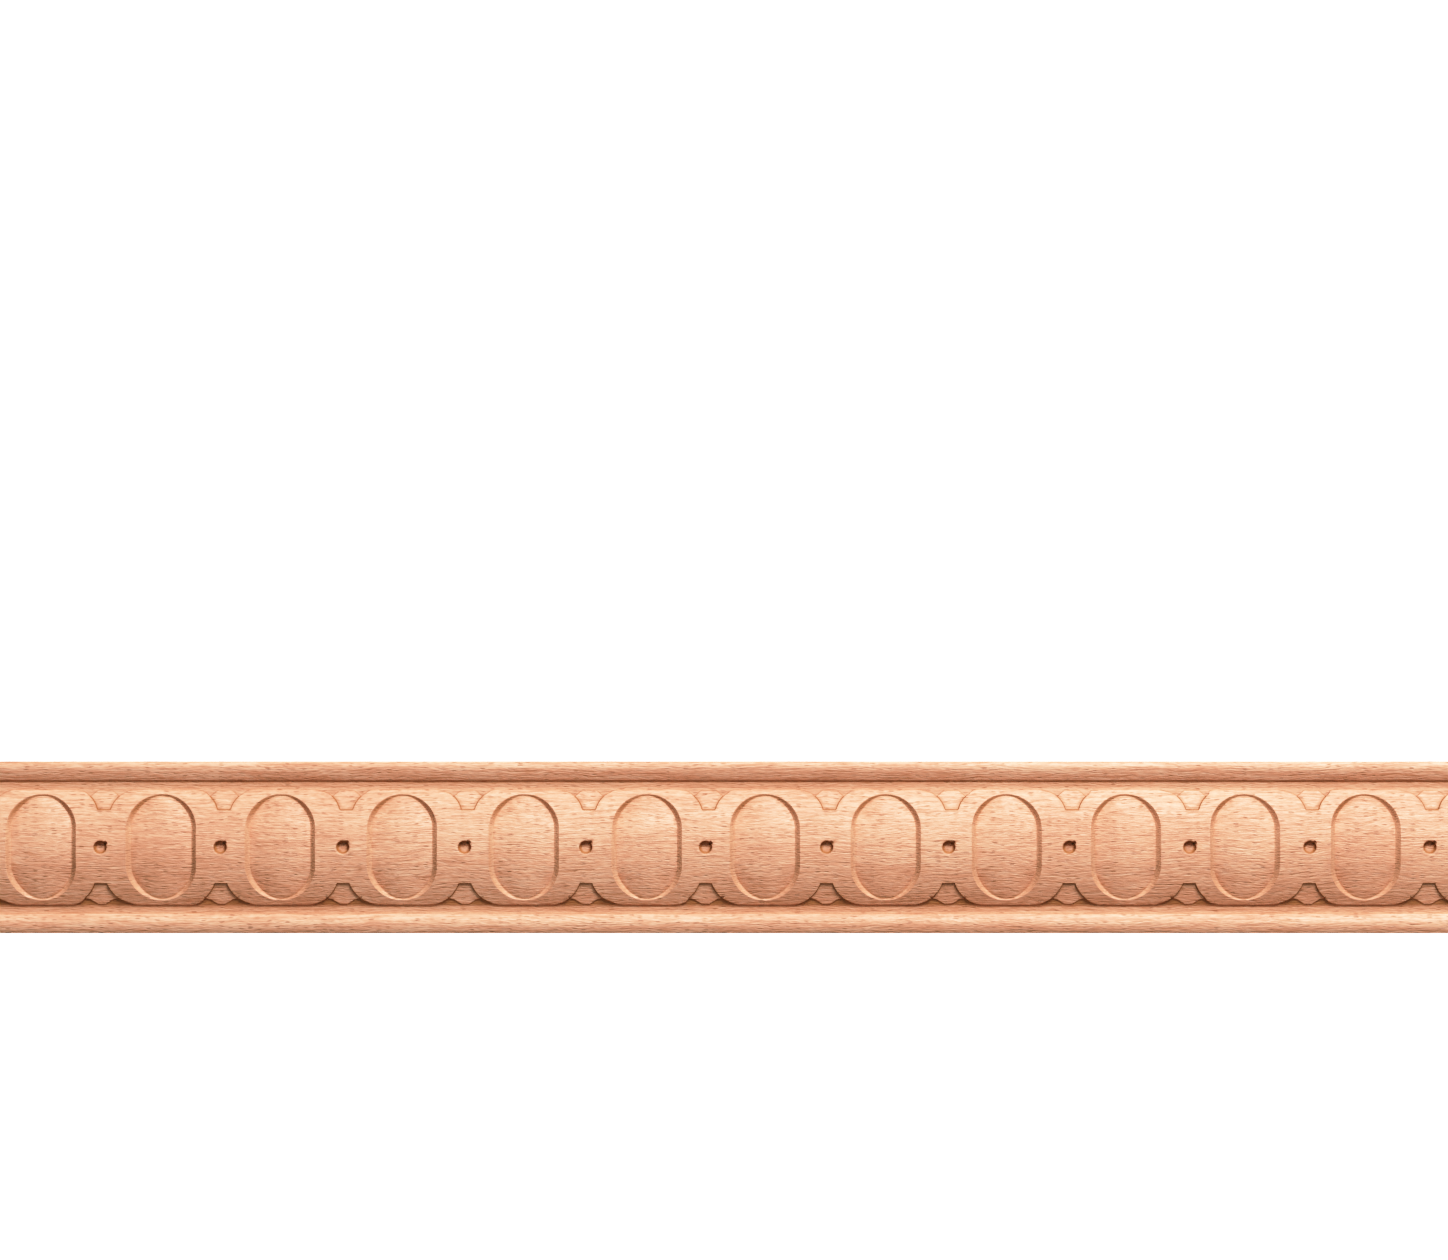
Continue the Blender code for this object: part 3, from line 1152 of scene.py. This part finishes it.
    def colour(self, board: NodeBoard, marks: WoodMarks) -> Signal:
        """Colour of the wood.

        Args:
            board: the material's nodes.
            marks: the marks of the wood.

        Returns:
            The colour, with each mark's own colour laid over the wood's tones, and the painted shade
            laid over all.
        """
        tone = marks.patches * self.patch_tone + marks.streaks * self.streak_tone
        tone = tone + marks.bead * self.bead_tone * (marks.streaks - self.bead_level)
        tone = tone + marks.ripple * self.ripple_tone + marks.rings * self.ring_tone
        tone = board.between(tone, *self.tone_span)
        stops = [(0.0, self.pale), (0.5, self.middle), (1.0, self.rosy)]
        colour = board.node("ShaderNodeValToRGB", {"stops": stops}, {"Fac": tone})
        fibres = board.between(marks.fibres, *self.fibre_span)
        long_grain = 1.0 - marks.end_grain
        colour = board.mix(fibres * self.fibre_cover, colour, self.rosy)
        colour = board.mix(marks.hairs * long_grain * self.hair_cover, colour, self.line)
        colour = board.mix(marks.flecks * long_grain * self.fleck_cover, colour, self.fleck)
        colour = board.mix(marks.end_grain * self.end_cover, colour, self.end_colour)
        # Painted shade: darken the colour towards the dark brown in the hollows and at the feet of the
        # walls.
        return board.mix(board.clamp(marks.painted_shade) * self.painted_shade_cover, colour, self.painted_shade)

    def roughness(self, marks: WoodMarks) -> Signal:
        """Roughness of the wood: rays are smooth, and fibres, end grain and the places of painted
        shade rough.

        Args:
            marks: the marks of the wood.

        Returns:
            The roughness.
        """
        roughness = self.plain_roughness + marks.fibres * self.fibre_roughness
        roughness = roughness + marks.end_grain * self.end_roughness
        return roughness - marks.flecks * self.fleck_polish + marks.painted_shade * self.crease_roughness

    def bead_share(self, board: NodeBoard, spot: Signal) -> Signal:
        """1 on the two edge beads, whose streaks show more, and 0 between them."""
        across = board.math("ABSOLUTE", board.part(spot, "Y"))
        return board.between(across, *self.bead_span)

    def rings(self, board: NodeBoard, place: Signal) -> Signal:
        """Growth rings about a heart far under the strip, each with a darker late edge.

        Args:
            board: the material's nodes.
            place: the place in the wood.

        Returns:
            The darkness of the rings, from 0 to 1.
        """
        across = board.part(place, "Y") - self.heart_across
        above = board.part(place, "Z") - self.heart_below
        radius = (across * across + above * above) ** 0.5
        uneven = board.grain(place, self.ring_wave, 1.0) * self.ring_wander
        growth = board.math("FRACT", (radius + uneven) / self.ring_spacing)
        return board.between(growth, *self.ring_darkens) * board.between(growth, *self.ring_ends)

    def flecks(self, board: NodeBoard, place: Signal) -> Signal:
        """Rays, which show as short dark dashes along the grain.

        Args:
            board: the material's nodes.
            place: the place in the wood.

        Returns:
            The strength of the dashes, from 0 to 1.
        """
        scaled = board.vector("DIVIDE", place, self.ray_size)
        settings = {"feature": "F1", "distance": "EUCLIDEAN"}
        sockets = {"Vector": scaled, "Scale": 1.0, "Randomness": 1.0}
        gap = board.node("ShaderNodeTexVoronoi", settings, sockets, "Distance")
        chance = board.node("ShaderNodeTexVoronoi", settings, sockets, "Color")
        chance = board.node("ShaderNodeSeparateColor", {}, {"Color": chance}, 0)
        return board.between(gap, *self.ray_edge) * board.between(chance, *self.ray_chance)

    def end_grain_share(self, board: NodeBoard) -> Signal:
        """How squarely the surface cuts across the grain, from 0 to 1."""
        along = board.part(board.node("ShaderNodeTexCoord", {}, {}, "Normal"), "X")
        return board.between(board.math("ABSOLUTE", along), *self.end_facing)


@dataclass(frozen=True)
class Quarter:
    """A quarter tile at its place in the strip.

    The middle is the place of the repeat's dot in an even carving, and the drifts are how far
    the dot and the oval lie from their even places.
    """

    face: CarvedFace
    side: Side
    end: End
    middle: float
    chips: list[Chip]
    dot_drift: float
    oval_drift: float

    def chip_drop(self, along: float, across: float) -> float:
        """How far the deepest tear-out lowers a point."""
        return max((chip.drop(along, across) for chip in self.chips), default=0.0)


@dataclass
class MouldingStrip:
    """The whole strip as one closed mesh."""

    pitch: float = PITCH
    oval_shift: float = -0.6
    upper_inner: float = 10.75
    upper_shift: float = 0.9
    upper_shift_starts: float = 4.0
    upper_shift_margin: float = 0.6
    upper_shift_fade: Span = (7.6, 5.0)
    dot_hold: Span = (7.2, 4.4)
    dot_drifts: tuple[float, ...] = (
        -0.5, -0.6, -0.8, -0.3, 0.0, 0.15, -0.15, -0.05, 0.35, 0.3, 0.2, 0.0, -0.25)
    oval_drifts: tuple[float, ...] = (
        0.3, 0.3, 0.1, -0.4, -0.05, 0.3, 0.95, 0.15, 0.2, 0.25, -0.2, -0.7, -0.7, -0.3)
    chip_seed: int = 7
    # Painted shade in the tear-outs, darker where they are deeper.
    chip_shade: float = 0.8
    chip_shade_depth: float = 0.5
    back_ease: float = 0.2
    merge_distance: float = 0.002
    saw_snap: float = 1e-4
    sharp_angle: float = math.radians(32.0)

    def __post_init__(self) -> None:
        """Take the strip's length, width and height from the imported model."""
        low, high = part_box(NODE)
        size = (high - low) / MM
        self.half_length: float = size.x / 2.0
        self.section: Section = Section(size.y / 2.0, size.z)
        self.repeats: int = round(size.x / self.pitch)

    def build(self) -> bpy.types.Object:
        """Build the strip, dress it and hang it on the frame.

        Returns:
            The strip's object.
        """
        shape = bmesh.new()
        # Layer of painted shade: how much each point's colour is darkened where shade falls in the
        # carving.
        painted_shade = shape.verts.layers.float.new("painted_shade")
        self.lay_face(shape, painted_shade)
        self.close_back(shape)
        self.cut_ends(shape)
        bmesh.ops.recalc_face_normals(shape, faces=shape.faces)
        bmesh.ops.scale(shape, vec=(MM, MM, MM), verts=shape.verts)
        mesh = bpy.data.meshes.new("carved_strip")
        shape.to_mesh(mesh)
        shape.free()
        mesh.shade_smooth()
        mesh.set_sharp_from_angle(angle=self.sharp_angle)
        strip = bpy.data.objects.new("carved_strip", mesh)
        bpy.context.scene.collection.objects.link(strip)
        mesh.materials.append(BeechFinish().build())
        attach(strip, "root")
        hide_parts(NODE)
        return strip

    def sections(self) -> dict[Side, Section]:
        """Section of each side.

        Returns:
            The lower one as moulded, and the upper one with its bead's crest further out and more
            painted shade at its bead's foot.
        """
        # The upper bead's wall faces away from the key light, so its foot gets more painted shade.
        upper = replace(
            self.section, bead_crest_across=23.1, bead_inner_shoulder=4.15, bead_inner_fullness=1.6,
            bead_wall_run=0.36, groove_shade=0.42, dome_foot_shade=0.45, bead_foot_shade=1.25)
        return {Side.UPPER: upper, Side.LOWER: self.section}

    def ovals(self) -> dict[tuple[Side, End], SunkOval]:
        """Oval that each quarter tile holds a quarter of.

        Returns:
            The ovals, whose painted shade is darker at the ends on the upper side, and most at the
            upper left.
        """
        # Painted shade differs by side: the walls at the upper ends, which face away from the key
        # light, are darkened, and the wall feet at the ends get a darker painted line.
        lower = SunkOval(self.section, foot_end_shade=0.65)
        upper_left = SunkOval(self.section, end_shade=0.75, foot_end_shade=0.5)
        upper_right = replace(upper_left, end_shade_starts=10.5, end_shade_full=15.2)
        return {(Side.UPPER, End.RIGHT): upper_left, (Side.UPPER, End.LEFT): upper_right,
                (Side.LOWER, End.RIGHT): lower, (Side.LOWER, End.LEFT): lower}

    def dots(self) -> dict[tuple[Side, End], Dot]:
        """Dot that each quarter tile holds a quarter of.

        Returns:
            The dots, whose painted shade reaches further in on their left.
        """
        right = Dot(self.section)
        upper_left = replace(right, painted_shade_starts=0.4, painted_shade_full=0.66)
        lower_left = replace(right, painted_shade_full=0.74)
        return {(Side.UPPER, End.RIGHT): right, (Side.UPPER, End.LEFT): upper_left,
                (Side.LOWER, End.RIGHT): right, (Side.LOWER, End.LEFT): lower_left}

    def keystones(self) -> dict[Side, Keystone]:
        """Notch of each side.

        Returns:
            The lower notch, and the upper one with its rounder scallops and less painted shade on its
            ground.
        """
        upper = Keystone(
            self.section, inner=self.upper_inner, scallop_radius=7.6, scallop_along=9.38,
            scallop_across=9.1, tip_half_width=2.0, shoulder=(0.85, 0.25), waist=(0.68, 0.62),
            ground_shade=0.34, ground_line=0.7, wedge_line=1.8)
        return {Side.UPPER: upper, Side.LOWER: Keystone(self.section)}

    def faces(self) -> dict[tuple[Side, End], CarvedFace]:
        """Carved faces of the four quarter tiles.

        Returns:
            The face of each quarter of a repeat.
        """
        sections, ovals, dots, keystones = self.sections(), self.ovals(), self.dots(), self.keystones()
        faces = {}
        for side in Side:
            for end in End:
                reach = self.pitch / 2.0 + end.value * self.oval_shift
                tile = QuarterTile(sections[side], ovals[side, end], dots[side, end],
                                   keystones[side], reach)
                faces[side, end] = tile.face()
                LOG.info("%s %s quarter: %d triangles", side.name, end.name,
                         len(faces[side, end].triangles))
        return faces

    def lay_face(self, shape: bmesh.types.BMesh, painted_shade: bmesh.types.BMLayerItem) -> None:
        """Lay four quarter tiles in each repeat, with its own tear-outs.

        Args:
            shape: the mesh to add to.
            painted_shade: the layer that keeps the painted shade of each point.
        """
        faces = self.faces()
        dot = self.dots()[Side.UPPER, End.RIGHT]
        notch = self.keystones()[Side.LOWER]
        draw = random.Random(self.chip_seed)
        for repeat in range(-1, self.repeats + 1):
            middle = self.pitch * (repeat - (self.repeats - 1) / 2.0)
            chips = TearOuts().drawn(draw, dot, notch)
            dot_drift = self.dot_drifts[min(max(repeat, 0), self.repeats - 1)]
            for (side, end), face in faces.items():
                next_oval = repeat + 1 if end is End.RIGHT else repeat
                oval_drift = self.oval_drifts[min(max(next_oval, 0), self.repeats)]
                quarter = Quarter(face, side, end, middle, chips, dot_drift, oval_drift)
                self.lay_quarter(shape, painted_shade, quarter)
        bmesh.ops.remove_doubles(shape, verts=shape.verts, dist=self.merge_distance)

    def shifted(self, along: float, across: float, quarter: Quarter) -> float:
        """Place along the strip once the cuts have drifted, with the land between them stretched.

        Args:
            along: place from the dot's middle in an even carving.
            across: place from the centre line.
            quarter: the quarter tile that the point is in.

        Returns:
            The place from the dot's even middle.
        """
        near_dot = ramp(abs(along), *self.dot_hold)
        notch_starts = self.upper_inner - self.upper_shift_margin
        notch = self.upper_shift * ramp(across, self.upper_shift_starts, notch_starts)
        notch *= ramp(abs(along), *self.upper_shift_fade)
        return along + quarter.dot_drift * near_dot + quarter.oval_drift * (1.0 - near_dot) + notch

    def lay_quarter(self, shape: bmesh.types.BMesh, painted_shade: bmesh.types.BMLayerItem,
                    quarter: Quarter) -> None:
        """Lay one quarter tile.

        Args:
            shape: the mesh to add to.
            painted_shade: the layer that keeps the painted shade of each point.
            quarter: the quarter tile and its place.
        """
        made = []
        for place, painted_darkness in zip(quarter.face.places, quarter.face.painted_shades):
            along = place.x * quarter.end.value
            across = place.y * quarter.side.value
            drop = quarter.chip_drop(along, across)
            spot = quarter.middle + self.shifted(along, across, quarter)
            vert = shape.verts.new((spot, across, place.z - drop))
            # Painted shade: a tear-out darkens the point's colour by its depth.
            vert[painted_shade] = max(painted_darkness, min(self.chip_shade, drop / self.chip_shade_depth))
            made.append(vert)
        for triangle in quarter.face.triangles:
            corners = [made[index] for index in triangle]
            upright = quarter.end.value * quarter.side.value > 0
            shape.faces.new(corners if upright else corners[::-1])

    def close_back(self, shape: bmesh.types.BMesh) -> None:
        """Run the long edges down the sides and close the flat back.

        Args:
            shape: the mesh to add to.
        """
        half_width = self.section.half_width
        rims = []
        for side in Side:
            edge = side.value * half_width
            rim = [vert for vert in shape.verts if abs(vert.co.y - edge) < self.merge_distance]
            rims.append(sorted(rim, key=lambda vert: vert.co.x))
        feet = []
        for side, rim in zip(Side, rims):
            above = rim
            for inset, height in ((0.0, self.back_ease), (self.back_ease, 0.0)):
                below = []
                for vert in rim:
                    across = side.value * (half_width - inset)
                    below.append(shape.verts.new((vert.co.x, across, height)))
                for step in range(len(rim) - 1):
                    shape.faces.new((above[step], above[step + 1], below[step + 1], below[step]))
                above = below
            feet.append(above)
        for step in range(len(feet[0]) - 1):
            shape.faces.new((feet[0][step], feet[0][step + 1], feet[1][step + 1], feet[1][step]))

    def cut_ends(self, shape: bmesh.types.BMesh) -> None:
        """Saw both ends square and close them.

        Args:
            shape: the mesh to cut.
        """
        for end in End:
            everything = shape.verts[:] + shape.edges[:] + shape.faces[:]
            cut = bmesh.ops.bisect_plane(
                shape, geom=everything, dist=self.saw_snap, clear_outer=True,
                plane_co=(end.value * self.half_length, 0.0, 0.0), plane_no=(end.value, 0.0, 0.0))
            rim = [item for item in cut["geom_cut"] if isinstance(item, bmesh.types.BMEdge)]
            bmesh.ops.holes_fill(shape, edges=rim, sides=0)
        caps = [face for face in shape.faces if len(face.verts) > 4]
        bmesh.ops.triangulate(shape, faces=caps)


@dataclass(frozen=True)
class Studio:
    """White table, soft lights and the camera that looks straight down on the strip."""

    image_width: int = 1448
    image_height: int = 1260
    strip_pixel_row: float = 847.2
    dot_pixel_column: float = 706.0
    pitch_pixels: float = 120.8
    pitch: float = PITCH * MM
    camera_pixels: float = 5000.0
    sensor: float = 36.0
    clip_start: float = 0.01
    clip_end: float = 50.0
    floor_radius: float = 3.0
    cove_radius: float = 2.5
    wall_height: float = 9.0
    cove_steps: int = 8
    round_steps: int = 48
    floor_colour: Colour = (0.93, 0.93, 0.93, 1.0)
    floor_roughness: float = 0.9
    floor_specular: float = 0.1
    glow_colour: Colour = (1.0, 1.0, 1.0, 1.0)
    glow: float = 1.3
    key_distance: float = 1.6
    key_from_upright: float = math.radians(48.0)
    key_turn: float = math.radians(20.0)
    key_power: float = 36.0
    key_size: tuple[float, float] = (0.6, 0.5)
    key_colour: tuple[float, float, float] = (1.0, 0.99, 1.0)
    fill_colour: Colour = (0.94, 1.0, 0.86, 1.0)
    fill_strength: float = 0.26
    tone_points: tuple[Point, ...] = (
        (0.05, 0.042), (0.15, 0.155), (0.3, 0.335), (0.5, 0.59), (0.7, 0.78), (0.85, 0.875),
        (1.0, 0.94))
    tone_white: float = 1.3
    tone_curve: int = 3

    def build(self, crown: float) -> None:
        """Lay the floor, hang the lights and set up the camera over the carved face.

        Args:
            crown: height of the carved face above the floor.
        """
        self.lay_floor()
        self.hang_lights()
        self.place_camera(crown)
        self.set_tones()

    def floor_rings(self) -> list[Point]:
        """Rings of the floor and its wall, as (radius, height).

        Returns:
            The flat floor's edge, the cove and the top of the wall.
        """
        rings = [(self.floor_radius, 0.0)]
        for angle in steps_between(0.0, QUARTER_TURN, QUARTER_TURN / self.cove_steps)[1:]:
            radius = self.floor_radius + self.cove_radius * math.sin(angle)
            rings.append((radius, self.cove_radius * (1.0 - math.cos(angle))))
        return rings + [(self.floor_radius + self.cove_radius, self.wall_height)]

    def floor_mesh(self) -> bpy.types.Mesh:
        """Mesh of the floor.

        Returns:
            A round floor that curves up into a wall.
        """
        rings = self.floor_rings()
        points = []
        for radius, height in rings:
            for step in range(self.round_steps):
                angle = 2.0 * math.pi * step / self.round_steps
                points.append((radius * math.cos(angle), radius * math.sin(angle), height))
        faces = [tuple(range(self.round_steps))]
        for ring in range(len(rings) - 1):
            for step in range(self.round_steps):
                after = (step + 1) % self.round_steps
                low = ring * self.round_steps
                high = low + self.round_steps
                faces.append((low + step, low + after, high + after, high + step))
        mesh = bpy.data.meshes.new("floor")
        mesh.from_pydata(points, [], faces)
        return mesh

    def floor_material(self) -> bpy.types.Material:
        """White that glows like a light table.

        Returns:
            The material.
        """
        board = NodeBoard("floor")
        board.shader.inputs["Base Color"].default_value = self.floor_colour
        board.shader.inputs["Roughness"].default_value = self.floor_roughness
        board.shader.inputs["Specular IOR Level"].default_value = self.floor_specular
        board.shader.inputs["Emission Color"].default_value = self.glow_colour
        board.shader.inputs["Emission Strength"].default_value = self.glow
        return board.material

    def lay_floor(self) -> None:
        """Lay the white table, whose glow lights only what the camera sees."""
        mesh = self.floor_mesh()
        floor = bpy.data.objects.new("floor", mesh)
        bpy.context.scene.collection.objects.link(floor)
        mesh.materials.append(self.floor_material())
        floor.visible_diffuse = False
        floor.visible_glossy = False
        floor.visible_shadow = False

    def hang_lights(self) -> None:
        """A soft key from beyond the strip's upper edge, and an even fill from all round."""
        light = bpy.data.lights.new("key", "AREA")
        light.shape = "RECTANGLE"
        light.size, light.size_y = self.key_size
        light.energy = self.key_power
        light.color = self.key_colour
        level = math.sin(self.key_from_upright)
        towards = Vector((level * math.sin(self.key_turn), level * math.cos(self.key_turn),
                          math.cos(self.key_from_upright)))
        lamp = bpy.data.objects.new("key", light)
        lamp.location = towards * self.key_distance
        lamp.rotation_euler = (-towards).to_track_quat("-Z", "Y").to_euler()
        bpy.context.scene.collection.objects.link(lamp)
        world = bpy.data.worlds.new("studio")
        world.use_nodes = True
        background = world.node_tree.nodes["Background"]
        background.inputs["Color"].default_value = self.fill_colour
        background.inputs["Strength"].default_value = self.fill_strength
        bpy.context.scene.world = world

    def place_camera(self, crown: float) -> None:
        """Set the camera straight above the strip's centre line, shifted to the picture's frame.

        Args:
            crown: height of the carved face above the floor.
        """
        pixel = self.pitch / self.pitch_pixels
        camera = bpy.data.cameras.new("camera")
        camera.sensor_width = self.sensor
        camera.lens = self.sensor * self.camera_pixels / self.image_width
        camera.shift_y = (self.strip_pixel_row - self.image_height / 2.0) / self.image_width
        camera.clip_start = self.clip_start
        camera.clip_end = self.clip_end
        viewer = bpy.data.objects.new("camera", camera)
        along = (self.image_width / 2.0 - self.dot_pixel_column) * pixel
        viewer.location = (along, 0.0, crown + self.camera_pixels * pixel)
        bpy.context.scene.collection.objects.link(viewer)
        bpy.context.scene.camera = viewer

    def set_tones(self) -> None:
        """Give the picture the tone curve of the photograph: deep darks and a soft shoulder."""
        settings = bpy.context.scene.view_settings
        settings.view_transform = "Standard"
        settings.use_curve_mapping = True
        mapping = settings.curve_mapping
        mapping.clip_max_x = self.tone_white
        curve = mapping.curves[self.tone_curve]
        curve.points[-1].location = (self.tone_white, 1.0)
        for place, value in self.tone_points:
            curve.points.new(place, value)
        mapping.update()


def write_sizes() -> None:
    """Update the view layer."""
    bpy.context.view_layer.update()


def main() -> None:
    """Build the strip and the studio round it."""
    logging.basicConfig(level=logging.INFO, format="%(message)s")
    maker = MouldingStrip()
    strip = maker.build()
    LOG.info("%s: %d faces", strip.name, len(strip.data.polygons))
    Studio().build(maker.section.crown * MM)
    LOG.info("studio: floor, key light and camera")
    write_sizes()


if __name__ == "__main__":
    main()
